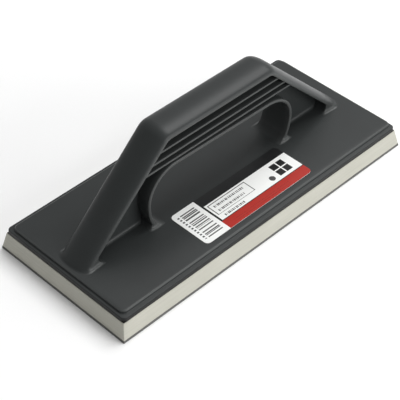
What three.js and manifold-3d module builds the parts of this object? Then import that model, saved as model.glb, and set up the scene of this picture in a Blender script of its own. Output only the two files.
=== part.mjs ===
// Rubber-faced grout float: a moulded plastic plate and closed handle in one
// piece, a rubber pad bonded under the plate, a denser sole sheet under the
// pad, and a printed label on the plate.
//
// Millimetres, +Z up. X runs along the float, Y across it. The origin is the
// centre of the working face, which lies in the plane Z = 0.

import * as THREE from 'three';
import { mergeVertices } from 'three/addons/utils/BufferGeometryUtils.js';
import Module from 'manifold-3d';

const wasm = await Module();
wasm.setup();

// ---- driving dimensions -------------------------------------------------

// Working face and the rubber below the plate. The sides lean in going up.
const SOLE_LENGTH = 250;
const SOLE_WIDTH = 110;
const SOLE_THICKNESS = 1.5;
const PAD_THICKNESS = 10.9;
const BOND_THICKNESS = 0.4;
const SIDE_LEAN = 2.85 / 12.8;
const RUBBER_CORNER_RADIUS = 0.6;
const BOND_SETBACK = 1.5;

const PAD_BOTTOM = SOLE_THICKNESS;
const PAD_TOP = PAD_BOTTOM + PAD_THICKNESS;
const PLATE_BOTTOM = PAD_TOP + BOND_THICKNESS;

// Plate: a thin ledge all round, and a raised deck with a rounded top edge.
const LEDGE_LENGTH = 244;
const LEDGE_WIDTH = 104;
const LEDGE_THICKNESS = 3;
const LEDGE_CORNER_RADIUS = 3;
const DECK_SHIFT_X = 0.6;
const DECK_LENGTH = 240.8;
const DECK_WIDTH = 98.6;
const DECK_CORNER_RADIUS = 4;
const DECK_EDGE_RADIUS = 1.2;
const PLATE_THICKNESS = 5;
const DECK_TOP = PLATE_BOTTOM + PLATE_THICKNESS;

// Handle: an I-section loop. The spine is the underside of the cap strip.
const HANDLE_HALF_WIDTH = 11.4;
const HANDLE_SHIFT_X = -2.2;
const SPINE_HALF_FOOT = 107.4;
const SPINE_HALF_GRIP = 44.2;
const SPINE_GRIP_Z = 78.9;
const SPINE_CORNER_RADIUS = 6;
const CAP_EDGE_THICKNESS = 1.2;
const CAP_CROWN = 5.3;
const CAP_SQUARENESS = 2.2;
const CAP_CROWN_SEGMENTS = 16;
const CAP_CORNER_SEGMENTS = 6;
const CAP_BURIED_DEPTH = 1;
const FOOT_FLARE = 1.8;
const FOOT_FLARE_HEIGHT = 5;
const FOOT_STATIONS = 9;
const FOOT_STATION_REACH = 18;

const WEB_THICKNESS = 3.2;
const WEB_REACH_INTO_CAP = 2.5;

// Finger opening, lined by a flange as wide as the handle. Its top falls a
// little from the left shoulder to the right one.
const OPENING_SHIFT_X = 0.3;
const OPENING_TOP_Z = 56.8;
const OPENING_FALL = 1.8;
const OPENING_HALF_LENGTH = 61.4;
const OPENING_SHOULDER_RADIUS = 20.7;
const OPENING_FLANK_RADIUS = 38;
const OPENING_ARC_SEGMENTS = 9;
const LINING_THICKNESS = 2.2;

// Finger ribs on both sides of the grip.
const RIB_CENTRES_Z = [72.4, 66.2, 61];
const RIB_THICKNESS = 1.4;
const RIB_HALF_WIDTH = 10.8;

// Moulding fillets where the handle stands on the deck.
const LEG_FILLET_RADIUS = 4;
const LINING_INNER_FILLET_RADIUS = 9;
const LINING_OUTER_FILLET_RADIUS = 2.5;
const WEB_FILLET_RADIUS = 1.8;
const FILLET_SEGMENTS = 5;

// Label on the deck, beside the handle.
const LABEL_LENGTH = 94.6;
const LABEL_WIDTH = 32.4;
const LABEL_THICKNESS = 0.25;
const LABEL_CORNER_RADIUS = 3;
const LABEL_CENTRE_X = 0.7;
const LABEL_CENTRE_Y = -28.1;

// ---- solids and meshes --------------------------------------------------

// A closed three.js geometry as a solid that can be joined and cut.
function toSolid(geometry) {
  const bare = geometry.clone();
  bare.deleteAttribute('normal');
  bare.deleteAttribute('uv');
  const welded = mergeVertices(bare, 1e-4);
  return new wasm.Manifold(new wasm.Mesh({
    numProp: 3,
    vertProperties: new Float32Array(welded.attributes.position.array),
    triVerts: new Uint32Array(welded.index.array),
  }));
}

function toGeometry(solid) {
  const mesh = solid.getMesh();
  const geometry = new THREE.BufferGeometry();
  geometry.setAttribute('position', new THREE.BufferAttribute(mesh.vertProperties, 3));
  geometry.setIndex(new THREE.BufferAttribute(mesh.triVerts, 1));
  geometry.computeVertexNormals();
  return geometry;
}

function named(name, geometry, color, roughness) {
  const material = new THREE.MeshStandardMaterial({ color, roughness, metalness: 0 });
  const mesh = new THREE.Mesh(geometry, material);
  mesh.name = name;
  return mesh;
}

// ---- outlines -----------------------------------------------------------

function roundedRectangle(length, width, radius) {
  const x = length / 2;
  const y = width / 2;
  const shape = new THREE.Shape();
  shape.moveTo(-x + radius, -y);
  shape.lineTo(x - radius, -y);
  shape.absarc(x - radius, -y + radius, radius, -Math.PI / 2, 0);
  shape.lineTo(x, y - radius);
  shape.absarc(x - radius, y - radius, radius, 0, Math.PI / 2);
  shape.lineTo(-x + radius, y);
  shape.absarc(-x + radius, y - radius, radius, Math.PI / 2, Math.PI);
  shape.lineTo(-x, -y + radius);
  shape.absarc(-x + radius, -y + radius, radius, Math.PI, 1.5 * Math.PI);
  return shape;
}

// A flat slab of a rounded rectangle from one height to another.
function slab(length, width, radius, bottom, top) {
  const outline = roundedRectangle(length, width, radius);
  const geometry = new THREE.ExtrudeGeometry(outline, {
    depth: top - bottom,
    bevelEnabled: false,
    curveSegments: 6,
  });
  return geometry.translate(0, 0, bottom);
}

// A slab whose sides lean in towards the top, corners included.
function leaningSlab(length, width, radius, bottom, top, lean) {
  const geometry = slab(length, width, radius, bottom, top);
  const position = geometry.attributes.position;
  const inset = (top - bottom) * lean;
  const middle = (bottom + top) / 2;
  for (let i = 0; i < position.count; i += 1) {
    if (position.getZ(i) > middle) {
      position.setX(i, position.getX(i) - Math.sign(position.getX(i)) * inset);
      position.setY(i, position.getY(i) - Math.sign(position.getY(i)) * inset);
    }
  }
  geometry.computeVertexNormals();
  return geometry;
}

// A side outline (points in X and Z) made solid across the float.
function acrossY(points, halfWidth, shiftX) {
  const geometry = new THREE.ExtrudeGeometry(new THREE.Shape(points), {
    depth: 2 * halfWidth,
    bevelEnabled: false,
  });
  geometry.rotateX(Math.PI / 2);
  return toSolid(geometry.translate(shiftX, halfWidth, 0));
}

// An end outline (points in Y and Z) made solid along the float.
function alongX(points, fromX, toX) {
  const geometry = new THREE.ExtrudeGeometry(new THREE.Shape(points), {
    depth: toX - fromX,
    bevelEnabled: false,
  });
  geometry.rotateX(Math.PI / 2);
  geometry.rotateZ(Math.PI / 2);
  return toSolid(geometry.translate(fromX, 0, 0));
}

function arcPoints(centreX, centreZ, radius, fromAngle, toAngle, segments) {
  const points = [];
  for (let i = 0; i <= segments; i += 1) {
    const angle = fromAngle + (toAngle - fromAngle) * i / segments;
    points.push(new THREE.Vector2(
      centreX + radius * Math.cos(angle),
      centreZ + radius * Math.sin(angle),
    ));
  }
  return points;
}

// ---- handle spine -------------------------------------------------------

const legRun = SPINE_HALF_FOOT - SPINE_HALF_GRIP;
const legRise = SPINE_GRIP_Z - DECK_TOP;
const legAngle = Math.atan2(legRise, legRun);
const legNormal = new THREE.Vector2(Math.sin(legAngle), Math.cos(legAngle));
const legDown = new THREE.Vector2(Math.cos(legAngle), -Math.sin(legAngle));
const cornerSetback = SPINE_CORNER_RADIUS * Math.tan(legAngle / 2);

// Stations from the grip's corner down the right-hand leg and into the deck,
// closer together near the foot. Each has a point and its outward normal.
function rightHalfStations() {
  const stations = [];
  const centre = new THREE.Vector2(
    SPINE_HALF_GRIP - cornerSetback,
    SPINE_GRIP_Z - SPINE_CORNER_RADIUS,
  );
  for (let i = 0; i <= CAP_CORNER_SEGMENTS; i += 1) {
    const turn = legAngle * i / CAP_CORNER_SEGMENTS;
    const normal = new THREE.Vector2(Math.sin(turn), Math.cos(turn));
    stations.push({ point: centre.clone().addScaledVector(normal, SPINE_CORNER_RADIUS), normal });
  }
  const foot = new THREE.Vector2(SPINE_HALF_FOOT, DECK_TOP);
  const pastFoot = (CAP_BURIED_DEPTH + CAP_CROWN) / Math.sin(legAngle);
  for (let i = 0; i <= FOOT_STATIONS; i += 1) {
    const along = pastFoot - FOOT_STATION_REACH * (1 - i / FOOT_STATIONS);
    stations.push({ point: foot.clone().addScaledVector(legDown, along), normal: legNormal });
  }
  return stations;
}

function capStations() {
  const right = rightHalfStations();
  const left = right.map(({ point, normal }) => ({
    point: new THREE.Vector2(-point.x, point.y),
    normal: new THREE.Vector2(-normal.x, normal.y),
  }));
  return [...left.reverse(), ...right];
}

// Outline of the handle's side, grown outwards from the spine.
function handleOutline(grow) {
  const radius = SPINE_CORNER_RADIUS + grow;
  const centreX = SPINE_HALF_GRIP - cornerSetback;
  const centreZ = SPINE_GRIP_Z - SPINE_CORNER_RADIUS;
  const footX = SPINE_HALF_FOOT + grow / Math.sin(legAngle);
  const footReach = CAP_BURIED_DEPTH / Math.tan(legAngle);
  const bottom = DECK_TOP - CAP_BURIED_DEPTH;
  const quarter = Math.PI / 2;
  return [
    new THREE.Vector2(-footX - footReach, bottom),
    new THREE.Vector2(footX + footReach, bottom),
    ...arcPoints(centreX, centreZ, radius, quarter - legAngle, quarter, CAP_CORNER_SEGMENTS),
    ...arcPoints(-centreX, centreZ, radius, quarter, quarter + legAngle, CAP_CORNER_SEGMENTS),
  ];
}

// ---- handle parts -------------------------------------------------------

// Half of a superellipse standing on a base line, from one side to the other.
function archPoints(halfWidth, height, base, segments) {
  const points = [];
  const power = 2 / CAP_SQUARENESS;
  for (let i = 0; i <= segments; i += 1) {
    const angle = Math.PI * i / segments;
    const x = Math.sign(Math.cos(angle)) * Math.abs(Math.cos(angle)) ** power;
    const y = Math.sin(angle) ** power;
    points.push(new THREE.Vector2(halfWidth * x, base + height * y));
  }
  return points;
}

// The cap strip's section: a gently rounded crown on a flat underside.
function capSection() {
  const crownHeight = CAP_CROWN - CAP_EDGE_THICKNESS;
  return new THREE.Shape([
    new THREE.Vector2(-HANDLE_HALF_WIDTH, 0),
    new THREE.Vector2(HANDLE_HALF_WIDTH, 0),
    ...archPoints(HANDLE_HALF_WIDTH, crownHeight, CAP_EDGE_THICKNESS, CAP_CROWN_SEGMENTS),
  ]);
}

// How far the foot spreads sideways at a height above the deck.
function flareAt(height) {
  const share = Math.min(1, Math.max(0, 1 - height / FOOT_FLARE_HEIGHT));
  return FOOT_FLARE * share ** 3;
}

// The cap is a straight extrusion, one step to a station, bent onto the spine.
// Its feet run into the plate and are trimmed level there.
function makeCap() {
  const stations = capStations();
  const steps = stations.length - 1;
  const geometry = new THREE.ExtrudeGeometry(capSection(), {
    depth: steps,
    steps,
    bevelEnabled: false,
  });
  const position = geometry.attributes.position;
  for (let i = 0; i < position.count; i += 1) {
    const { point, normal } = stations[Math.round(position.getZ(i))];
    const across = position.getX(i);
    const out = position.getY(i);
    const z = point.y + normal.y * out;
    const flare = flareAt(z - DECK_TOP);
    const x = point.x + normal.x * out + Math.sign(point.x) * flare * out / CAP_CROWN;
    position.setXYZ(i, x + HANDLE_SHIFT_X, across * (1 + flare / HANDLE_HALF_WIDTH), z);
  }
  const above = new THREE.BoxGeometry(SOLE_LENGTH, SOLE_WIDTH, SOLE_LENGTH);
  above.translate(0, 0, SOLE_LENGTH / 2 + DECK_TOP - CAP_BURIED_DEPTH);
  return toSolid(geometry).intersect(toSolid(above));
}

// The finger opening: a nearly level top, round shoulders and flanks that curve in
// to the deck.
const openingLevelZ = OPENING_TOP_Z - OPENING_SHOULDER_RADIUS;
const openingFlankX = OPENING_HALF_LENGTH - OPENING_FLANK_RADIUS;
const flankLean = Math.asin((openingLevelZ - DECK_TOP) / OPENING_FLANK_RADIUS);
const openingFootX = openingFlankX + OPENING_FLANK_RADIUS * Math.cos(flankLean);
const shoulderX = OPENING_HALF_LENGTH - OPENING_SHOULDER_RADIUS;

// A point of the opening's outline, lowered by its share of the fall.
function fallen(point) {
  const height = Math.max(0, point.y - openingLevelZ) / OPENING_SHOULDER_RADIUS;
  const along = Math.min(1, Math.max(0, 0.5 + point.x / (2 * shoulderX)));
  return new THREE.Vector2(point.x, point.y - OPENING_FALL * height * along);
}

function openingOutline(grow, bottom) {
  const shoulder = OPENING_SHOULDER_RADIUS + grow;
  const flank = OPENING_FLANK_RADIUS + grow;
  const drop = Math.asin((openingLevelZ - bottom) / flank);
  const n = OPENING_ARC_SEGMENTS;
  const right = [
    ...arcPoints(openingFlankX, openingLevelZ, flank, -drop, 0, n).slice(0, -1),
    ...arcPoints(shoulderX, openingLevelZ, shoulder, 0, Math.PI / 2, n),
  ];
  const left = right.map((p) => new THREE.Vector2(-p.x, p.y)).reverse();
  return [...right, ...left].map(fallen);
}

// Fillet in the corner at a point, between two directions with a given angle.
function filletOutline(corner, firstAngle, secondAngle, radius) {
  const half = (secondAngle - firstAngle) / 2;
  const reach = radius / Math.tan(half);
  const bisector = firstAngle + half;
  const centreDistance = radius / Math.sin(half);
  const centreX = corner.x + centreDistance * Math.cos(bisector);
  const centreZ = corner.y + centreDistance * Math.sin(bisector);
  const start = new THREE.Vector2(
    corner.x + reach * Math.cos(secondAngle),
    corner.y + reach * Math.sin(secondAngle),
  );
  const startAngle = Math.atan2(start.y - centreZ, start.x - centreX);
  const sweep = Math.PI - 2 * half;
  return [
    corner,
    ...arcPoints(centreX, centreZ, radius, startAngle + sweep, startAngle, FILLET_SEGMENTS),
  ];
}

// Fillets sink a little into the deck and the part that they lean on.
const SINK = 0.4;

function mirrorForSide(points, side) {
  const placed = points.map((p) => new THREE.Vector2(side * p.x, p.y));
  return side < 0 ? placed.reverse() : placed;
}

function legFillet(side) {
  const corner = new THREE.Vector2(SPINE_HALF_FOOT + SINK, DECK_TOP - SINK);
  const points = filletOutline(corner, Math.PI - legAngle, Math.PI, LEG_FILLET_RADIUS);
  return acrossY(mirrorForSide(points, side), HANDLE_HALF_WIDTH, HANDLE_SHIFT_X);
}

function liningFillets(side) {
  const outerFootX = openingFootX + LINING_THICKNESS / Math.cos(flankLean);
  const wall = Math.PI / 2 - flankLean;
  const inner = new THREE.Vector2(openingFootX + SINK, DECK_TOP - SINK);
  const outer = new THREE.Vector2(outerFootX - SINK, DECK_TOP - SINK);
  const fillets = [
    filletOutline(inner, wall, Math.PI, LINING_INNER_FILLET_RADIUS),
    filletOutline(outer, 0, wall, LINING_OUTER_FILLET_RADIUS),
  ];
  return fillets.map((points) => (
    acrossY(mirrorForSide(points, side), HANDLE_HALF_WIDTH, OPENING_SHIFT_X)
  ));
}

function webFillets(side) {
  const corner = new THREE.Vector2(WEB_THICKNESS / 2 - SINK, DECK_TOP - SINK);
  const points = filletOutline(corner, 0, Math.PI / 2, WEB_FILLET_RADIUS);
  const liningX = OPENING_SHIFT_X + side * (openingFootX + LINING_THICKNESS / 2);
  const legX = HANDLE_SHIFT_X + side * SPINE_HALF_FOOT;
  const fromX = Math.min(liningX, legX);
  const toX = Math.max(liningX, legX);
  return [-1, 1].map((face) => alongX(mirrorForSide(points, face), fromX, toX));
}

function makeRib(z) {
  const rib = new THREE.BoxGeometry(2 * SPINE_HALF_FOOT, 2 * RIB_HALF_WIDTH, RIB_THICKNESS);
  return toSolid(rib.translate(HANDLE_SHIFT_X, 0, z));
}

function makeHandle() {
  const bottom = DECK_TOP - CAP_BURIED_DEPTH;
  const width = HANDLE_HALF_WIDTH;
  const webOutline = handleOutline(WEB_REACH_INTO_CAP);
  const insideCap = acrossY(handleOutline(SINK), width, HANDLE_SHIFT_X);
  const lining = acrossY(openingOutline(LINING_THICKNESS, bottom), width, OPENING_SHIFT_X);
  const opening = acrossY(openingOutline(0, DECK_TOP), 2 * width, OPENING_SHIFT_X);
  let handle = acrossY(webOutline, WEB_THICKNESS / 2, HANDLE_SHIFT_X).add(lining);
  for (const z of RIB_CENTRES_Z) {
    handle = handle.add(makeRib(z).intersect(insideCap));
  }
  handle = handle.add(makeCap()).subtract(opening);
  for (const side of [-1, 1]) {
    for (const fillet of [legFillet(side), ...liningFillets(side), ...webFillets(side)]) {
      handle = handle.add(fillet);
    }
  }
  return handle;
}

// ---- plate --------------------------------------------------------------

function makePlate() {
  const ledgeTop = PLATE_BOTTOM + LEDGE_THICKNESS;
  const ledge = slab(LEDGE_LENGTH, LEDGE_WIDTH, LEDGE_CORNER_RADIUS, PLATE_BOTTOM, ledgeTop);
  const outline = roundedRectangle(
    DECK_LENGTH - 2 * DECK_EDGE_RADIUS,
    DECK_WIDTH - 2 * DECK_EDGE_RADIUS,
    DECK_CORNER_RADIUS - DECK_EDGE_RADIUS,
  );
  const deck = new THREE.ExtrudeGeometry(outline, {
    depth: PLATE_THICKNESS - 2 * DECK_EDGE_RADIUS - SINK,
    bevelEnabled: true,
    bevelThickness: DECK_EDGE_RADIUS,
    bevelSize: DECK_EDGE_RADIUS,
    bevelSegments: 3,
    curveSegments: 6,
  });
  deck.translate(DECK_SHIFT_X, 0, PLATE_BOTTOM + SINK + DECK_EDGE_RADIUS);
  return toSolid(ledge).add(toSolid(deck));
}

// ---- the float ----------------------------------------------------------

const float = new THREE.Group();

const body = makePlate().add(makeHandle());
float.add(named('float_body', toGeometry(body), 0x4a4d50, 0.5));

const bond = slab(
  LEDGE_LENGTH - 2 * BOND_SETBACK,
  LEDGE_WIDTH - 2 * BOND_SETBACK,
  LEDGE_CORNER_RADIUS,
  PAD_TOP,
  PLATE_BOTTOM,
);
float.add(named('bond_layer', bond, 0x1c1b19, 0.6));

const padInset = 2 * PAD_BOTTOM * SIDE_LEAN;
const pad = leaningSlab(
  SOLE_LENGTH - padInset,
  SOLE_WIDTH - padInset,
  RUBBER_CORNER_RADIUS,
  PAD_BOTTOM,
  PAD_TOP,
  SIDE_LEAN,
);
float.add(named('rubber_pad', pad, 0xc9c8bf, 0.85));

const sole = leaningSlab(
  SOLE_LENGTH,
  SOLE_WIDTH,
  RUBBER_CORNER_RADIUS,
  0,
  SOLE_THICKNESS,
  SIDE_LEAN,
);
float.add(named('sole_sheet', sole, 0x5a5a58, 0.9));

const label = slab(
  LABEL_LENGTH,
  LABEL_WIDTH,
  LABEL_CORNER_RADIUS,
  DECK_TOP,
  DECK_TOP + LABEL_THICKNESS,
).translate(LABEL_CENTRE_X, LABEL_CENTRE_Y, 0);
float.add(named('size_label', label, 0xe6e6e2, 0.35));

export default float;
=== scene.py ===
import math

import bpy
import numpy as np
from mathutils import Matrix, Vector


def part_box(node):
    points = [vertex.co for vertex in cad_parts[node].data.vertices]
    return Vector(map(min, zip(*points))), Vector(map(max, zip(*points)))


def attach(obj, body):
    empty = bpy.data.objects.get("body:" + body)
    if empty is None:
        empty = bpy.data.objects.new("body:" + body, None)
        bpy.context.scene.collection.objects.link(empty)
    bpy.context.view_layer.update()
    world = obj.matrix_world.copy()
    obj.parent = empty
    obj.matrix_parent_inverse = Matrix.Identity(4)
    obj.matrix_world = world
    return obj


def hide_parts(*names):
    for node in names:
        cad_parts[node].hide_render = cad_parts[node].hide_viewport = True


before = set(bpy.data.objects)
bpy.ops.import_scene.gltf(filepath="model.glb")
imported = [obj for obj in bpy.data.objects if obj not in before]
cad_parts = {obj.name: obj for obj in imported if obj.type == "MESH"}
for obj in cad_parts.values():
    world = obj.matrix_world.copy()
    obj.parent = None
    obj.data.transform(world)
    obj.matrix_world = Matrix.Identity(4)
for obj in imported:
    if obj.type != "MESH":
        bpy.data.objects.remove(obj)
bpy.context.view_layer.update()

# ---- camera ---------------------------------------------------------------
# A long lens looks down on the float from the front left corner, far enough
# away that the long sides stay nearly parallel.

camera = bpy.data.objects.new("camera", bpy.data.cameras.new("camera"))
bpy.context.collection.objects.link(camera)
bpy.context.scene.camera = camera
azimuth, elevation, roll = np.radians([-45.84, 42.79, 0.90])
back = Vector((
    math.sin(azimuth) * math.cos(elevation),
    -math.cos(azimuth) * math.cos(elevation),
    math.sin(elevation),
))
right = (-back).cross(Vector((0, 0, 1))).normalized()
up = right.cross(-back)
camera_axes = Matrix((
    math.cos(roll) * right + math.sin(roll) * up,
    math.cos(roll) * up - math.sin(roll) * right,
    back,
))
target, distance = Vector((-0.00812, -0.00008, 0)), 0.8636
camera.location = target + distance * back
camera.rotation_euler = camera_axes.transposed().to_euler()
camera.data.sensor_width = 36
camera.data.lens = 122.09
camera.data.clip_start = 0.05
camera.data.clip_end = 20

# ---- floor and light ------------------------------------------------------
# White seamless paper under a white studio: an even sky, one broad soft lamp
# high beyond the float's far end, and a dimmer reflector panel facing its long
# side.


def linear(hex_colour):
    """sRGB hex to linear: a channel c is c/12.92 below 0.04045, and
    ((c + 0.055)/1.055)^2.4 above it."""
    c = np.array([int(hex_colour[i:i + 2], 16) for i in (1, 3, 5)]) / 255
    c = np.where(c < 0.04045, c / 12.92, ((c + 0.055) / 1.055) ** 2.4)
    return (*c.tolist(), 1.0)


def add(material, kind, links=(), **values):
    """Adds one shader node. Values named like a setting are set on the node,
    values named like an input fill it, and links is a dict of input to the
    output that feeds it. Names take _ for a space, and _6 is input 6."""
    node = material.node_tree.nodes.new(kind)
    for name, value in values.items():
        if hasattr(node, name):
            setattr(node, name, value)
        else:
            socket = int(name[1:]) if name[1:].isdigit() else name.replace("_", " ")
            node.inputs[socket].default_value = value
    for name, output in dict(links).items():
        material.node_tree.links.new(output, node.inputs[name])
    return node


def blank(name):
    """A node material with no nodes in it yet."""
    material = bpy.data.materials.new(name)
    material.use_nodes = True
    material.node_tree.nodes.clear()
    return material


def plane(name, width, depth, z):
    """A flat grid: x and y run evenly over the width and the depth, and z
    stays level."""
    lines = 9
    share = np.linspace(-1, 1, lines)
    x, y = np.meshgrid(share * width / 2, share * depth / 2)
    points = np.stack([x, y, np.full_like(x, z)], -1).reshape(-1, 3)
    corner = (np.arange(lines - 1)[:, None] * lines + np.arange(lines - 1)).reshape(-1, 1)
    mesh = bpy.data.meshes.new(name)
    mesh.from_pydata(points.tolist(), [], (corner + [0, 1, lines + 1, lines]).tolist())
    obj = bpy.data.objects.new(name, mesh)
    bpy.context.collection.objects.link(obj)
    return obj


# Matt white paper: even, with a fibre of about a millimetre that keeps it
# from looking flat.
paper = blank("seamless_paper_matt")
paper_place = add(paper, "ShaderNodeTexCoord")
paper_fibre = add(paper, "ShaderNodeTexNoise", {"Vector": paper_place.outputs["Object"]},
                  Scale=900.0, Detail=3.0)
paper_tone = add(paper, "ShaderNodeMix", {"Factor": paper_fibre.outputs["Fac"]},
                 data_type="RGBA", _6=linear("#f6f6f6"), _7=linear("#fafafa"))
paper_finish = add(paper, "ShaderNodeBsdfPrincipled", {"Base Color": paper_tone.outputs[2]},
                   Roughness=0.9)
add(paper, "ShaderNodeOutputMaterial", {"Surface": paper_finish.outputs[0]})

floor = plane("floor", width=8, depth=8, z=-0.00005)
floor.data.materials.append(paper)

# The sky is brightest low down, and dims upwards and towards the left.
world = bpy.data.worlds.new("white_studio")
world.use_nodes = True
sky_place = add(world, "ShaderNodeTexCoord")
sky_axes = add(world, "ShaderNodeSeparateXYZ", {"Vector": sky_place.outputs["Generated"]})
sky_height = add(world, "ShaderNodeMapRange", {"Value": sky_axes.outputs["Z"]},
                 interpolation_type="SMOOTHSTEP",
                 From_Min=0.08, From_Max=0.5, To_Min=1.15, To_Max=0.5)
sky_side = add(world, "ShaderNodeMapRange", {"Value": sky_axes.outputs["X"]},
               interpolation_type="SMOOTHSTEP",
               From_Min=-0.9, From_Max=0.5, To_Min=0.4, To_Max=1.0)
sky_light = add(world, "ShaderNodeMath", {0: sky_height.outputs[0], 1: sky_side.outputs[0]},
                operation="MULTIPLY")
sky = world.node_tree.nodes["Background"].inputs
sky["Color"].default_value = (1, 1, 1, 1)
world.node_tree.links.new(sky_light.outputs[0], sky["Strength"])
bpy.context.scene.world = world
bpy.context.scene.view_settings.view_transform = "Standard"


def panel(name, place, width, height, power):
    """A soft rectangular lamp at a place in metres, facing the float."""
    aim = Vector((0, 0, 0.03))
    lamp = bpy.data.objects.new(name, bpy.data.lights.new(name, "AREA"))
    lamp.data.shape = "RECTANGLE"
    lamp.data.size, lamp.data.size_y, lamp.data.energy = width, height, power
    lamp.location = place
    lamp.rotation_euler = (Vector(place) - aim).to_track_quat("Z", "Y").to_euler()
    bpy.context.collection.objects.link(lamp)


panel("lamp_high_far_end", (0.95, 0.05, 1.65), width=1.2, height=1.2, power=26)
panel("panel_long_side", (0.4, -1.9, 0.8), width=1.8, height=0.9, power=24)

# ---- plate ----------------------------------------------------------------
# The injection-moulded base of the float, dark grey polypropylene: a thin
# ledge all round, whose lower round and outer face carry painted shade in near
# black, a 5 mm deck with a rounded rim, and a flat underside that the rubber is glued to.

MM = 0.001


def edges(node):
    """Lowest and highest corner of a node in millimetres."""
    return np.array(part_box(node)) / MM


def rounded_rectangle(half_x, half_y, radius, corner_steps=9, side_steps=0):
    """Points round a rectangle, anticlockwise from above. A point is a centre
    plus the radius at an angle: at a corner the centre stays and the angle
    turns a quarter, along a side the angle stays and the centre moves. The
    sizes may be columns, one row to an outline. Gives the points and their
    outward directions."""
    corner = np.arange(4)[:, None]
    turn = np.linspace(0, np.pi / 2, corner_steps)[None] + corner * np.pi / 2
    share = np.linspace(0, 1, side_steps + 2)[None, 1:-1]
    hold = np.broadcast_to((corner + 1) * np.pi / 2, (4, side_steps))
    sign_x, sign_y = np.array([1, -1, -1, 1])[:, None], np.array([1, 1, -1, -1])[:, None]
    centre_x, centre_y = (
        np.hstack([np.tile(sign, corner_steps), sign + (np.roll(sign, -1) - sign) * share]).ravel()
        for sign in (sign_x, sign_y)
    )
    angle = np.hstack([turn, hold]).ravel()
    x = centre_x * (half_x - radius) + radius * np.cos(angle)
    y = centre_y * (half_y - radius) + radius * np.sin(angle)
    return np.stack(np.broadcast_arrays(x, y), -1), np.stack([np.cos(angle), np.sin(angle)], -1)


def skin(name, shells, sharp=40):
    """Makes one piece from closed shells in millimetres. A shell is a grid of
    points, rows along its path and columns round its section, and a value at
    each point that is edge wear above zero and painted shade below zero.
    Neighbours are joined in quads, each end is closed with one flat face, and a
    shell whose enclosed volume is negative is turned round, so that all faces
    point outwards. Edges over sharp degrees stay crisp."""
    points, wear_and_shade_values, faces, first = [], [], [], 0
    for grid, wear_and_shade in shells:
        rows, columns = grid.shape[:2]
        index = np.arange(rows * columns).reshape(rows, columns)
        after = np.roll(index, -1, axis=1)
        quads = np.stack([index[:-1], after[:-1], after[1:], index[1:]], -1).reshape(-1, 4)
        ends = [index[0, ::-1], index[-1]]
        flat = grid.reshape(-1, 3)
        fans = [np.stack([np.full(columns - 2, e[0]), e[1:-1], e[2:]], -1) for e in ends]
        three = flat[np.vstack([quads[:, [0, 1, 2]], quads[:, [0, 2, 3]], *fans])]
        inside_out = np.einsum("ij,ij->", three[:, 0], np.cross(three[:, 1], three[:, 2])) < 0
        step = -1 if inside_out else 1
        faces += (quads[:, ::step] + first).tolist() + [(e[::step] + first).tolist() for e in ends]
        points.append(flat)
        wear_and_shade_values.append(np.broadcast_to(wear_and_shade, (rows, columns)).ravel())
        first += len(flat)
    mesh = bpy.data.meshes.new(name)
    mesh.from_pydata((np.vstack(points) * MM).tolist(), [], faces)
    wear_and_shade_data = mesh.attributes.new("wear_and_shade", "FLOAT", "POINT").data
    wear_and_shade_data.foreach_set("value", np.hstack(wear_and_shade_values).astype(np.float32))
    mesh.shade_smooth()
    mesh.set_sharp_from_angle(angle=math.radians(sharp))
    piece = bpy.data.objects.new(name, mesh)
    bpy.context.collection.objects.link(piece)
    return piece


# Injection-moulded polypropylene from a spark-eroded mould: a fine even grain
# that breaks up the gloss into a satin, and slightly paler and smoother where
# hands and sleeves rub the edges. Where the value is below zero, near black
# painted shade lies on the ledge's lower round and outer face. The real grain
# is about 0.15 mm, and it is drawn at 0.5 mm so that it shows.
plastic = blank("polypropylene_moulded_grained")
plastic_place = add(plastic, "ShaderNodeTexCoord").outputs["Object"]
plastic_grain = add(plastic, "ShaderNodeTexNoise", {"Vector": plastic_place},
                    Scale=1 / (0.5 * MM), Detail=2.0)
plastic_cloud = add(plastic, "ShaderNodeTexNoise", {"Vector": plastic_place},
                    Scale=1 / (28 * MM), Detail=3.0)
plastic_wear_and_shade = add(plastic, "ShaderNodeAttribute", attribute_name="wear_and_shade")
plastic_tone = add(plastic, "ShaderNodeMix", {"Factor": plastic_cloud.outputs["Fac"]},
                   data_type="RGBA", _6=linear("#2c2e2e"), _7=linear("#343737"))
plastic_worn = add(plastic, "ShaderNodeMapRange", {"Value": plastic_wear_and_shade.outputs["Fac"]},
                   To_Max=0.28)
plastic_paler = add(plastic, "ShaderNodeMix",
                    {"Factor": plastic_worn.outputs[0], 6: plastic_tone.outputs[2]},
                    data_type="RGBA", _7=linear("#6b6d6c"))
# Painted shade: below zero, the value darkens the ledge to near black #0c0c0c.
plastic_painted_shade = add(plastic, "ShaderNodeMapRange", {"Value": plastic_wear_and_shade.outputs["Fac"]},
                      From_Min=0.0, From_Max=-1.0, To_Max=0.85)
plastic_colour = add(plastic, "ShaderNodeMix",
                     {"Factor": plastic_painted_shade.outputs[0], 6: plastic_paler.outputs[2]},
                     data_type="RGBA", _7=linear("#0c0c0c"))
plastic_rough = add(plastic, "ShaderNodeMapRange", {"Value": plastic_grain.outputs["Fac"]},
                    To_Min=0.32, To_Max=0.44)
plastic_smooth = add(plastic, "ShaderNodeMath",
                     {0: plastic_wear_and_shade.outputs["Fac"], 2: plastic_rough.outputs[0]},
                     operation="MULTIPLY_ADD", _1=-0.06)
plastic_bump = add(plastic, "ShaderNodeBump", {"Height": plastic_grain.outputs["Fac"]},
                   Strength=0.35, Distance=0.03 * MM)
plastic_finish = add(plastic, "ShaderNodeBsdfPrincipled",
                     {"Base Color": plastic_colour.outputs[2],
                      "Roughness": plastic_smooth.outputs[0],
                      "Normal": plastic_bump.outputs[0]},
                     IOR=1.49, Specular_IOR_Level=0.22)
add(plastic, "ShaderNodeOutputMaterial", {"Surface": plastic_finish.outputs[0]})


def moulded(piece):
    """Finishes a piece of the moulding: it rides on the float and stands for
    part of the moulded body."""
    piece.data.materials.append(plastic)
    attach(piece, "root")
    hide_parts("float_body")


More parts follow.
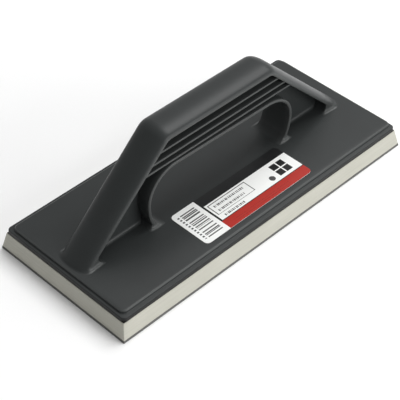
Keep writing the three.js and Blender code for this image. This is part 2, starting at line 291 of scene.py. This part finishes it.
LEDGE, LEDGE_ROUND = 3, 0.45
DECK_HALF = np.array([120.4, 49.3])
DECK_SHIFT, RIM, COVE, CORNER = 0.6, 1.2, 0.4, 4
body_low, body_high = edges("float_body")
deck = edges("size_label")[0][2]
ledge_top = body_low[2] + LEDGE
ledge_half = (body_high[:2] - body_low[:2]) / 2

# The profile goes from the underside out round the ledge, in to the wall and
# up round the rim. Each row is: share of the ledge's reach, setback, height,
# and how much it is rubbed, or below zero, how much painted shade darkens it,
# full on the ledge's lower round and fading out up its outer face.
arc = np.linspace(0, np.pi / 2, 7)[:, None]
falling, rising = 1 - np.sin(arc), 1 - np.cos(arc)
full, none = np.ones_like(arc), np.zeros_like(arc)
profile = np.vstack([
    # The two ledge groups carry painted shade as negative values.
    np.hstack([full, LEDGE_ROUND * falling, body_low[2] + LEDGE_ROUND * rising, -full]),
    np.hstack([full, LEDGE_ROUND * rising, ledge_top - LEDGE_ROUND * falling, -falling]),
    np.hstack([none, -COVE * falling, ledge_top + COVE * rising, none]),
    np.hstack([none, RIM * rising, deck - RIM * falling, np.sin(2 * arc)]),
])
reach, setback, height, wear_and_shade = profile.T[:, :, None]
outline, _ = rounded_rectangle(
    DECK_HALF[0] + reach * (ledge_half[0] - DECK_HALF[0]) - setback,
    DECK_HALF[1] + reach * (ledge_half[1] - DECK_HALF[1]) - setback,
    CORNER - reach - setback, corner_steps=12,
)
plate_x = outline[..., :1] + DECK_SHIFT * (1 - reach[..., None])
plate_z = np.broadcast_to(height, outline.shape[:2])[..., None]
plate_grid = np.concatenate([plate_x, outline[..., 1:], plate_z], -1)
moulded(skin("body_plate", [(plate_grid, wear_and_shade)]))

# ---- grip strip -----------------------------------------------------------
# The broad crowned strip that the palm holds: level over the top, bent down
# at 44 degrees to a foot at each end, and faired into the deck. It is the
# upper flange of an I-section and part of the same moulding.

HALF_WIDTH = 11.4
CROWN, STRIP_EDGE, SQUARENESS, UNDER_ROUND = 5.3, 1.2, 2.2, 0.5
HANDLE_SHIFT = -2.2
HALF_FOOT, HALF_GRIP, BEND = 107.4, 44.2, 6
TOE_FILLET, LEG_FILLET, SIDE_FILLET = 1.4, 4.0, 2.2
grip_z = body_high[2] - CROWN
slope = math.atan2(grip_z - deck, HALF_FOOT - HALF_GRIP)
bend_x, bend_z = HALF_GRIP - BEND * math.tan(slope / 2), grip_z - BEND


def fillet_spread(height, lean, radius):
    """How far a moulding fillet pushes a wall outwards at a height above the
    deck. The wall moves outwards by lean for each unit of height, so it stands
    at the angle atan2(1, lean) to the deck. The fillet is the circle that
    touches both: it leaves the deck at radius/tan(half angle), and its place
    less the wall's place is the spread."""
    angle = np.arctan2(1, lean)
    leave = radius / np.tan(angle / 2)
    h = np.clip(height, 0, None)
    bulge = np.sqrt(np.clip(radius ** 2 - (radius - h) ** 2, 0, None))
    return np.where(h < leave * np.sin(angle), leave - bulge - lean * h, 0)


def outward(section):
    """Outward direction at each point of closed clockwise sections: the chord
    between neighbours, turned left."""
    chord = np.roll(section, -1, axis=-2) - np.roll(section, 1, axis=-2)
    normal = np.stack([-chord[..., 1], chord[..., 0]], -1)
    return normal / np.linalg.norm(normal, axis=-1, keepdims=True)


# Section, as (out, across): a flat underside with small round corners, short
# upright edges, and a superellipse crown, |y|^n + |z|^n = 1.
crown = np.linspace(0, np.pi, 61)
corner = np.linspace(0, np.pi / 2, 6)
crown_y = HALF_WIDTH * np.sign(np.cos(crown)) * np.abs(np.cos(crown)) ** (2 / SQUARENESS)
crown_out = STRIP_EDGE + (CROWN - STRIP_EDGE) * np.sin(crown) ** (2 / SQUARENESS)
flat_half = HALF_WIDTH - UNDER_ROUND
under_y = np.linspace(-flat_half, flat_half, 15)[1:-1]
rising, falling = UNDER_ROUND * (1 - np.cos(corner)), UNDER_ROUND * (1 - np.sin(corner))
across = np.hstack([crown_y, rising - HALF_WIDTH, under_y, HALF_WIDTH - falling])
out = np.hstack([crown_out, falling, 0 * under_y, rising])

# Rows of the right half: level, round the bend, down the leg, and from 9 mm
# above the deck, level slices whose heights above the deck are given.
LEVEL_BELOW = 9
foot_heights = np.array([
    8, 7, 6, 5.2, 4.5, 3.8, 3.2, 2.6, 2.1, 1.6, 1.2, 0.85, 0.55, 0.3, 0.14, 0.04, 0, -1,
])
turn = np.linspace(0, slope, 15)
leg_top = bend_z + BEND * math.cos(slope)
leg_z = np.hstack([np.linspace(leg_top, deck + LEVEL_BELOW, 26)[1:], deck + foot_heights])
level_x = np.linspace(0, bend_x, 13)[:-1]
leg_x = HALF_FOOT - (leg_z - deck) / math.tan(slope)
row_x = np.hstack([level_x, bend_x + BEND * np.sin(turn), leg_x])[:, None]
row_z = np.hstack([0 * level_x + grip_z, bend_z + BEND * np.cos(turn), leg_z])[:, None]
tilt = np.hstack([0 * level_x, turn, 0 * leg_z + slope])[:, None]
level_share = np.clip((leg_top - row_z) / (leg_top - deck - LEVEL_BELOW), 0, 1)
level_share = level_share ** 2 * (3 - 2 * level_share)
slide = level_share * out / math.tan(slope)
strip_x = row_x + np.sin(tilt) * out + slide * math.cos(slope)
strip_z = row_z + np.cos(tilt) * out - slide * math.sin(slope)
strip_y = np.broadcast_to(across, strip_x.shape)
facing = outward(np.stack([strip_x, strip_y], -1)[-1:])
HIGH_UP = 99.0
foot = np.where(level_share >= 1, row_z - deck, HIGH_UP)
radius = TOE_FILLET + (LEG_FILLET - TOE_FILLET) * np.clip(-facing[..., 0], 0, 1)
spread_x = fillet_spread(foot, -facing[..., 0] / math.tan(slope), radius) * facing[..., 0]
spread_y = fillet_spread(foot, 0.0, SIDE_FILLET) * np.clip(strip_y / HALF_WIDTH, -1, 1)
half_strip = np.stack([strip_x + spread_x, strip_y + spread_y, strip_z], -1)
strip_grid = np.concatenate([(half_strip * [-1, 1, 1])[:0:-1], half_strip]) + [HANDLE_SHIFT, 0, 0]

# Hands rub the strip's edges, full at 0.9 mm out and gone 1.7 mm from there.
RUB_OUT, RUB_FADE, RUB_GAIN, RUB_ACROSS = 0.9, 1.2, 1.4, 0.9
strip_rub = np.clip(RUB_GAIN - np.abs(out - RUB_OUT) / RUB_FADE, 0, 1)
strip_rub = strip_rub * (np.abs(across) > RUB_ACROSS * HALF_WIDTH)
moulded(skin("body_grip_strip", [(strip_grid, strip_rub)]))

# ---- web ------------------------------------------------------------------
# The upright panel in the middle of the handle, 3.2 mm thick, which joins the
# strip, the lining and the deck. A small fillet runs along its foot.

HALF_WEB, WEB_FILLET, INTO_STRIP, BURIED = 1.6, 1.8, 2.5, 0.8
OPENING_SHIFT, OPENING_TOP, OPENING_FALL = 0.3, 56.8, 1.8
HALF_OPENING, SHOULDER, FLANK, LINING = 61.4, 20.7, 38, 2.2
opening_level = OPENING_TOP - SHOULDER
shoulder_x, flank_x = HALF_OPENING - SHOULDER, HALF_OPENING - FLANK


def opening_curve(grow, bottom, steps):
    """Right half of the finger opening from its foot to the middle of its top,
    grown by an amount: a flank circle by height, x = centre +
    sqrt(radius^2 - drop^2), a quarter circle for the shoulder, then level."""
    z = np.linspace(bottom, opening_level, steps[0])[:-1]
    a = np.linspace(0, np.pi / 2, steps[1])
    x = np.linspace(shoulder_x, 0, steps[2])[1:]
    flank = np.stack([flank_x + np.sqrt((FLANK + grow) ** 2 - (opening_level - z) ** 2), z], -1)
    quarter = np.stack([np.cos(a), np.sin(a)], -1)
    shoulder = [shoulder_x, opening_level] + (SHOULDER + grow) * quarter
    return np.vstack([flank, shoulder, np.stack([x, 0 * x + OPENING_TOP + grow], -1)])


def spine_curve(grow, bottom, steps):
    """Right half of the strip's underside from foot to middle, grown outwards:
    the leg, the bend circle, the level."""
    radius = BEND + grow
    top = bend_z + radius * math.cos(slope)
    z = np.linspace(bottom, top, steps[0])[:-1]
    a = np.linspace(slope, 0, steps[1])
    x = np.linspace(bend_x, 0, steps[2])[1:]
    leg = np.stack([HALF_FOOT + grow / math.sin(slope) - (z - deck) / math.tan(slope), z], -1)
    bend = [bend_x, bend_z] + radius * np.stack([np.sin(a), np.cos(a)], -1)
    return np.vstack([leg, bend, np.stack([x, 0 * x + grip_z + grow], -1)])


def both_halves(curve):
    """The right half and its mirror image as one line from foot to foot."""
    return np.vstack([curve, (curve * [-1, 1])[-2::-1]])


def fall(x, z):
    """How far the opening's top drops at a place: in proportion to the height
    above the level of the shoulder centres, from nothing over the left
    shoulder to the whole fall over the right one."""
    height_share = np.clip(z - opening_level, 0, None) / SHOULDER
    return OPENING_FALL * height_share * np.clip(0.5 + x / (2 * shoulder_x), 0, 1)


# The steps pair the shoulder with the upper leg, so that no web face cuts
# across the opening.
inner = both_halves(opening_curve(LINING / 2, deck - BURIED, (8, 14, 12)))
inner = np.stack([inner[:, 0] + OPENING_SHIFT, inner[:, 1] - fall(*inner.T)], -1)
outer = both_halves(spine_curve(INTO_STRIP, deck - BURIED, (17, 5, 12))) + [HANDLE_SHIFT, 0]
side = np.array([-HALF_WEB, HALF_WEB])
web_grid = np.stack([
    np.stack([line[:, 0], 0 * line[:, 0] + y, line[:, 1]], -1)
    for line, y in ((inner, side[0]), (inner, side[1]), (outer, side[1]), (outer, side[0]))
], 1)

# The foot fillets: a short ridge whose sides spread as a quarter circle, from
# inside the lining to the foot of the leg.
RIDGE_START, RIDGE_RUB = 58.5, 0.3
ridge_height = WEB_FILLET * (1 - np.cos(np.linspace(0, np.pi / 2, 9)))[::-1]
ridge_y = HALF_WEB + fillet_spread(ridge_height, 0.0, WEB_FILLET)
ridge_side = np.stack([ridge_y, deck + ridge_height], -1)
ridge = np.vstack([
    ridge_side,
    [[ridge_y[-1], deck - BURIED], [-ridge_y[-1], deck - BURIED]],
    (ridge_side * [-1, 1])[::-1],
])
web_feet = []
for end in (1, -1):
    x = np.array([[OPENING_SHIFT + end * RIDGE_START], [HANDLE_SHIFT + end * HALF_FOOT]])
    web_feet.append(np.stack(np.broadcast_arrays(x, ridge[:, 0], ridge[:, 1]), -1))
moulded(skin("body_web", [(web_grid, 0.0), *((grid, RIDGE_RUB) for grid in web_feet)]))

# ---- opening lining -------------------------------------------------------
# The flange that lines the finger opening, as wide as the strip, with rounded
# edges for the fingers and a fillet all round each foot.

LINING_ROUND, INNER_FILLET, OUTER_FILLET = 0.85, 9.0, 2.5
lining_section, lining_facing = rounded_rectangle(
    LINING / 2, HALF_WIDTH, LINING_ROUND, corner_steps=7, side_steps=5,
)
lining_y = lining_section[:, 1]
depth = lining_section[:, 0] / LINING + 0.5
foot_z = deck + np.array([-1, 0, 0.03, 0.1, 0.25, 0.45, 0.7, 1, 1.4, 1.9, 2.5, 3.2, 4, 5])
flank_z = np.hstack([foot_z, np.linspace(deck + 6, opening_level, 11)[:-1]])[:, None]
drop = opening_level - flank_z
near = flank_x + np.sqrt(FLANK ** 2 - drop ** 2)
far = flank_x + np.sqrt((FLANK + LINING) ** 2 - drop ** 2)
foot_drop = opening_level - deck
lean = lining_facing[:, 0] * foot_drop / math.sqrt(FLANK ** 2 - foot_drop ** 2)
foot_radius = np.where(lining_facing[:, 0] < 0, INNER_FILLET, OUTER_FILLET)
foot_x = fillet_spread(flank_z - deck, lean, foot_radius) * lining_facing[:, 0]
foot_y = fillet_spread(flank_z - deck, 0.0, SIDE_FILLET) * np.clip(lining_y / HALF_WIDTH, -1, 1)
flank_grid = np.stack(np.broadcast_arrays(
    near + depth * (far - near) + foot_x, lining_y + foot_y, flank_z,
), -1)
bow = np.linspace(0, np.pi / 2, 22)[:, None]
bow_radius = SHOULDER + depth * LINING
bow_grid = np.stack(np.broadcast_arrays(
    shoulder_x + bow_radius * np.cos(bow), lining_y, opening_level + bow_radius * np.sin(bow),
), -1)
top_grid = np.stack(np.broadcast_arrays(
    np.linspace(shoulder_x, 0, 10)[1:, None], lining_y, OPENING_TOP + depth * LINING,
), -1)
half_lining = np.concatenate([flank_grid, bow_grid, top_grid])
lining_grid = np.concatenate([half_lining, (half_lining * [-1, 1, 1])[-2::-1]])
lining_grid[..., 2] -= fall(lining_grid[..., 0], lining_grid[..., 2])
lining_grid[..., 0] += OPENING_SHIFT

# The lining's edges are rubbed over their outermost 1.2 mm.
RUB_REACH, RUB_RISE = 1.2, 0.8
lining_rub = np.clip((np.abs(lining_y) - HALF_WIDTH + RUB_REACH) / RUB_RISE, 0, 1)
moulded(skin("body_opening_lining", [(lining_grid, lining_rub)]))

# ---- finger ribs ----------------------------------------------------------
# Three thin shelves across the web under the grip on both sides, which give
# the fingers a hold. Their ends follow the slope of the legs.

HALF_RIB, RIB_REACH, RIB_ROUND, RIB_INTO_STRIP = 0.7, 10.8, 0.6, 0.6
RIB_RUB_FROM, RIB_RUB_RISE = 10.1, 0.5
rib_section, _ = rounded_rectangle(HALF_RIB, RIB_REACH, RIB_ROUND, corner_steps=6, side_steps=3)
rib_rub = np.clip((np.abs(rib_section[:, 1]) - RIB_RUB_FROM) / RIB_RUB_RISE, 0, 1)
ribs = []
for rib_z in (72.4, 66.2, 61.0):
    z = rib_z + rib_section[:, 0]
    end = HALF_FOOT - (z - deck) / math.tan(slope) + RIB_INTO_STRIP
    x = HANDLE_SHIFT + np.linspace(-1, 1, 9)[:, None] * end
    ribs.append((np.stack(np.broadcast_arrays(x, rib_section[:, 1], z), -1), rib_rub))
moulded(skin("body_finger_ribs", ribs))

# ---- bond line ------------------------------------------------------------
# A film of cured contact adhesive between the rubber and the plate, squeezed
# out over the rubber's narrow bare rim and seen only as a dark line.

# Polychloroprene adhesive, pressed and wiped: near black, semi-gloss, and
# uneven in tone where it lies thick or thin.
glue = blank("contact_adhesive_cured")
glue_place = add(glue, "ShaderNodeTexCoord").outputs["Object"]
glue_streak = add(glue, "ShaderNodeTexNoise", {"Vector": glue_place},
                  Scale=1 / (3 * MM), Detail=4.0)
glue_tone = add(glue, "ShaderNodeMix", {"Factor": glue_streak.outputs["Fac"]},
                data_type="RGBA", _6=linear("#161513"), _7=linear("#24221e"))
glue_bump = add(glue, "ShaderNodeBump", {"Height": glue_streak.outputs["Fac"]},
                Strength=0.4, Distance=0.1 * MM)
glue_finish = add(glue, "ShaderNodeBsdfPrincipled",
                  {"Base Color": glue_tone.outputs[2], "Normal": glue_bump.outputs[0]},
                  Roughness=0.6, IOR=1.45)
add(glue, "ShaderNodeOutputMaterial", {"Surface": glue_finish.outputs[0]})

# The film fills the gap and swells a little at its edge, as a half circle. It
# ends 0.3 mm inside the rubber's side, which leans in 2.85 mm over 12.8 mm.
LEAN = 2.85 / 12.8
FILM_INSIDE, FILM_SWELL, FILM_CORNER = 0.3, 0.2, 0.6
bond_low, bond_high = edges("bond_layer")
bond_half = (edges("sole_sheet")[1] - LEAN * bond_low[2])[:2] - FILM_INSIDE
bead = np.linspace(-np.pi / 2, np.pi / 2, 7)[:, None]
bead_in = FILM_SWELL * (1 - np.cos(bead))
bond_line, _ = rounded_rectangle(bond_half[0] - bead_in, bond_half[1] - bead_in, FILM_CORNER)
bond_z = (bond_low[2] + bond_high[2]) / 2 + (bond_high[2] - bond_low[2]) / 2 * np.sin(bead)
bond_column = np.broadcast_to(bond_z, bond_line.shape[:2])[..., None]
bond_grid = np.concatenate([bond_line, bond_column], -1)
bond = skin("adhesive_film", [(bond_grid, 0.0)])
bond.data.materials.append(glue)
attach(bond, "root")
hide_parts("bond_layer")

# ---- rubber pad -----------------------------------------------------------
# An 11 mm slab of pale natural rubber with its four sides cut to lean in. It
# is cut with a wet knife, which leaves crisp corners, a faint wave and fine
# drag lines.


def leaning_block(low, high, lean, radius, edge, wave):
    """A block with leaning sides: at each height the half sizes shrink by lean
    times the rise, the top and bottom edges are rounded, and a sum of slow sine
    waves of the place along the side moves the cut face in. The waves' heights
    add up to 2.1, which is taken off, so that the face never moves out."""
    a = np.linspace(0, np.pi / 2, 5)
    thickness = high[2] - low[2]
    rise = np.hstack([
        edge * (1 - np.cos(a)),
        np.linspace(edge, thickness - edge, 7)[1:-1],
        thickness - edge * (1 - np.sin(a)),
    ])[:, None]
    inset = np.hstack([edge * (1 - np.sin(a)), np.zeros(5), edge * (1 - np.cos(a))])[:, None]
    half = (high - low) / 2
    shrink = lean * rise + inset
    # The corner tightens with the inset, but never quite to a point.
    corner_radius = radius - inset * 0.9
    line, facing = rounded_rectangle(
        half[0] - shrink, half[1] - shrink, corner_radius, corner_steps=6, side_steps=60,
    )
    x, y = line[..., 0], line[..., 1]
    along = x + 1.7 * y
    cut = wave * (
        np.sin(along / 9.3) + 0.6 * np.sin(along / 4.1 + 1.3)
        + 0.5 * np.sin(along / 23 + rise / 3) - 2.1
    )
    x = x + cut * facing[:, 0] + (low[0] + high[0]) / 2
    y = y + cut * facing[:, 1] + (low[1] + high[1]) / 2
    return np.stack(np.broadcast_arrays(x, y, low[2] + rise), -1)


# Natural rubber, sheet-cured and knife-cut: a soft matt cream with fine
# pores, a faint mottle, and drag lines about 0.5 mm apart along the cut,
# drawn 1 mm apart so that they show.
rubber = blank("natural_rubber_knife_cut")
rubber_place = add(rubber, "ShaderNodeTexCoord").outputs["Object"]
rubber_along = add(rubber, "ShaderNodeMapping", {"Vector": rubber_place},
                   _3=(1 / (60 * MM), 1 / (60 * MM), 1 / (1.0 * MM)))
rubber_drag = add(rubber, "ShaderNodeTexNoise", {"Vector": rubber_along.outputs[0]},
                  Scale=1.0, Detail=3.0)
rubber_pore = add(rubber, "ShaderNodeTexNoise", {"Vector": rubber_place},
                  Scale=1 / (0.7 * MM), Detail=2.0)
rubber_cloud = add(rubber, "ShaderNodeTexNoise", {"Vector": rubber_place},
                   Scale=1 / (18 * MM), Detail=4.0)
rubber_base = add(rubber, "ShaderNodeMix", {"Factor": rubber_cloud.outputs["Fac"]},
                  data_type="RGBA", _6=linear("#b0afa4"), _7=linear("#bcbbb1"))
rubber_line = add(rubber, "ShaderNodeMapRange", {"Value": rubber_drag.outputs["Fac"]},
                  From_Min=0.35, From_Max=0.65, To_Min=0.0, To_Max=0.22)
rubber_tone = add(rubber, "ShaderNodeMix",
                  {"Factor": rubber_line.outputs[0], 6: rubber_base.outputs[2]},
                  data_type="RGBA", _7=linear("#9c9b90"))
rubber_height = add(rubber, "ShaderNodeMath",
                    {0: rubber_drag.outputs["Fac"], 1: rubber_pore.outputs["Fac"]},
                    operation="ADD")
rubber_bump = add(rubber, "ShaderNodeBump", {"Height": rubber_height.outputs[0]},
                  Strength=0.3, Distance=0.12 * MM)
rubber_finish = add(rubber, "ShaderNodeBsdfPrincipled",
                    {"Base Color": rubber_tone.outputs[2], "Normal": rubber_bump.outputs[0]},
                    Roughness=0.78, IOR=1.52)
add(rubber, "ShaderNodeOutputMaterial", {"Surface": rubber_finish.outputs[0]})

pad_grid = leaning_block(*edges("rubber_pad"), LEAN, radius=0.6, edge=0.25, wave=0.03)
pad = skin("rubber_pad_block", [(pad_grid, 0.0)])
pad.data.materials.append(rubber)
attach(pad, "root")
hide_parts("rubber_pad")

# ---- sole sheet -----------------------------------------------------------
# The thin working layer under the pad, a denser grey rubber vulcanised to it
# and cut with it, so that its sides carry on the pad's lean.

# Filled rubber with a ground face: mid grey, matt, with a fine tooth from the
# grinding, drawn at 0.6 mm.
tread = blank("grey_rubber_ground")
tread_place = add(tread, "ShaderNodeTexCoord").outputs["Object"]
tread_tooth = add(tread, "ShaderNodeTexVoronoi", {"Vector": tread_place}, Scale=1 / (0.6 * MM))
tread_cloud = add(tread, "ShaderNodeTexNoise", {"Vector": tread_place},
                  Scale=1 / (12 * MM), Detail=5.0)
tread_tone = add(tread, "ShaderNodeMix", {"Factor": tread_cloud.outputs["Fac"]},
                 data_type="RGBA", _6=linear("#525250"), _7=linear("#62625f"))
tread_bump = add(tread, "ShaderNodeBump", {"Height": tread_tooth.outputs["Distance"]},
                 Strength=0.4, Distance=0.06 * MM)
tread_finish = add(tread, "ShaderNodeBsdfPrincipled",
                   {"Base Color": tread_tone.outputs[2], "Normal": tread_bump.outputs[0]},
                   Roughness=0.82, IOR=1.52)
add(tread, "ShaderNodeOutputMaterial", {"Surface": tread_finish.outputs[0]})

sole_grid = leaning_block(*edges("sole_sheet"), LEAN, radius=0.6, edge=0.15, wave=0.0)
sole = skin("sole_sheet_cut", [(sole_grid, 0.0)])
sole.data.materials.append(tread)
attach(sole, "root")
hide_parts("sole_sheet")

# ---- printed label --------------------------------------------------------
# A gloss polypropylene film label stuck to the deck beside the handle, with a
# white block of plain bars, a black band, a white panel and a red band. It
# carries no words: the print is rules, tiles and bars only.

WHITE, BLACK, RED, DARK_RED, GREY = (
    linear(c) for c in ("#f0f1ef", "#161718", "#a92115", "#861c13", "#4a4a4a")
)


def print_colours(x, y):
    """Ink at each place on the label, in millimetres from the float's middle.
    Each area is a mask made of ranges and, for bars and dashes, of the signs of
    sine waves along the row. Later areas lie over earlier ones, and areas that
    run to 99 are bounded by the label's own edge."""
    def area(x0, x1, y0, y1):
        return (x > x0) & (x < x1) & (y > y0) & (y < y1)

    bars = np.sin(2.3 * y) + np.sin(3.9 * y + 1) > 0.1
    dashes = np.sin(4.6 * x) + 0.6 * np.sin(1.9 * x + 2) > -0.1
    frame_lines = area(-23.4, 9.2, -31.2, -21) & ~area(-23.0, 8.8, -30.8, -21.4)
    tiles = (np.abs(x - 36) > 0.45) & (np.abs(y + 28) > 0.45)
    inks = [
        (area(-99, -26.6, -99, 99), WHITE),
        (area(-41.5, -29.5, -41.5, -15) & bars, GREY),
        (area(-44.2, -42.8, -40.5, -15) & (np.sin(2.6 * y) > 0), GREY),
        (area(-25, 99, -36.0, -19.6), WHITE),
        (area(-26.6, 99, -99, -36.6), RED),
        (area(-20, 30, -40.6, -40.1) & dashes, DARK_RED),
        (area(-20, 30, -42.4, -41.9) & dashes, DARK_RED),
        (frame_lines, GREY),
        (area(-21, 5, -25.2, -23.2) & dashes, GREY),
        (area(-21, 2, -29.4, -27.6) & dashes, GREY),
        (area(-21, -3, -34.6, -32.8) & dashes, GREY),
        (area(30.4, 41.6, -33.6, -22.4) & tiles, BLACK),
        ((x - 24.5) ** 2 + (y + 31.5) ** 2 < 2.2 ** 2, GREY),
    ]
    colour = np.broadcast_to(BLACK, (*x.shape, 4)).copy()
    for mask, ink in inks:
        colour[mask] = ink
    return colour


# The top is a fine grid whose corner squares are rounded with the square to
# disc map u*sqrt(1 - v^2/2), and its border folds down to the deck.
label_low, label_high = edges("size_label")
label_mid, label_half = (label_low + label_high)[:2] / 2, (label_high - label_low)[:2] / 2
LABEL_ROUND, CELL = 3.0, 0.3
columns, rows = (np.round(2 * label_half / CELL).astype(int) + 1).tolist()
flat_x, flat_y = np.meshgrid(
    np.linspace(-1, 1, columns) * label_half[0], np.linspace(-1, 1, rows) * label_half[1],
)
u = np.clip((np.abs(flat_x) - label_half[0] + LABEL_ROUND) / LABEL_ROUND, 0, None)
v = np.clip((np.abs(flat_y) - label_half[1] + LABEL_ROUND) / LABEL_ROUND, 0, None)
top_x = np.sign(flat_x) * (np.abs(flat_x) - LABEL_ROUND * u * (1 - np.sqrt(1 - v ** 2 / 2)))
top_y = np.sign(flat_y) * (np.abs(flat_y) - LABEL_ROUND * v * (1 - np.sqrt(1 - u ** 2 / 2)))
top = np.stack([top_x + label_mid[0], top_y + label_mid[1], np.full_like(top_x, label_high[2])], -1)
index = np.arange(rows * columns).reshape(rows, columns)
quads = np.stack([index[:-1, :-1], index[:-1, 1:], index[1:, 1:], index[1:, :-1]], -1)
quads = quads.reshape(-1, 4)
ring = np.hstack([index[0, :-1], index[:-1, -1], index[-1, :0:-1], index[:0:-1, 0]])
foot_ring = top.reshape(-1, 3)[ring] * [1, 1, 0] + [0, 0, label_low[2]]
lower = rows * columns + np.arange(len(ring))
wall = np.stack([ring, lower, np.roll(lower, -1), np.roll(ring, -1)], -1)
points = np.vstack([top.reshape(-1, 3), foot_ring])
label_mesh = bpy.data.meshes.new("printed_label")
faces = quads.tolist() + wall.tolist() + [lower[::-1].tolist()]
label_mesh.from_pydata((points * MM).tolist(), [], faces)
middle = points[quads].mean(axis=1)
plain = np.broadcast_to(WHITE, (len(ring) + 1, 4))
face_ink = np.vstack([print_colours(middle[:, 0], middle[:, 1]), plain])
sides = np.full(len(label_mesh.polygons), 4)
sides[-1] = len(ring)
ink = label_mesh.attributes.new("print", "FLOAT_COLOR", "CORNER")
ink.data.foreach_set("color", np.repeat(face_ink, sides, axis=0).ravel().astype(np.float32))

# Gloss-laminated film, screen printed: even ink with a faint unevenness and
# a soft ripple from lying on the grained deck.
film = blank("label_film_printed")
film_place = add(film, "ShaderNodeTexCoord").outputs["Object"]
film_ink = add(film, "ShaderNodeAttribute", attribute_name="print")
film_cloud = add(film, "ShaderNodeTexNoise", {"Vector": film_place},
                 Scale=1 / (6 * MM), Detail=4.0)
film_share = add(film, "ShaderNodeMapRange", {"Value": film_cloud.outputs["Fac"]},
                 To_Min=0.0, To_Max=0.025)
film_tone = add(film, "ShaderNodeMix",
                {"Factor": film_share.outputs[0], 6: film_ink.outputs["Color"]},
                data_type="RGBA", _7=linear("#9a9a98"))
film_bump = add(film, "ShaderNodeBump", {"Height": film_cloud.outputs["Fac"]},
                Strength=0.2, Distance=0.1 * MM)
film_finish = add(film, "ShaderNodeBsdfPrincipled",
                  {"Base Color": film_tone.outputs[2], "Normal": film_bump.outputs[0]},
                  Roughness=0.32, IOR=1.49, Specular_IOR_Level=0.3)
add(film, "ShaderNodeOutputMaterial", {"Surface": film_finish.outputs[0]})

label = bpy.data.objects.new("printed_label", label_mesh)
bpy.context.collection.objects.link(label)
label_mesh.materials.append(film)
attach(label, "root")
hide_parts("size_label")
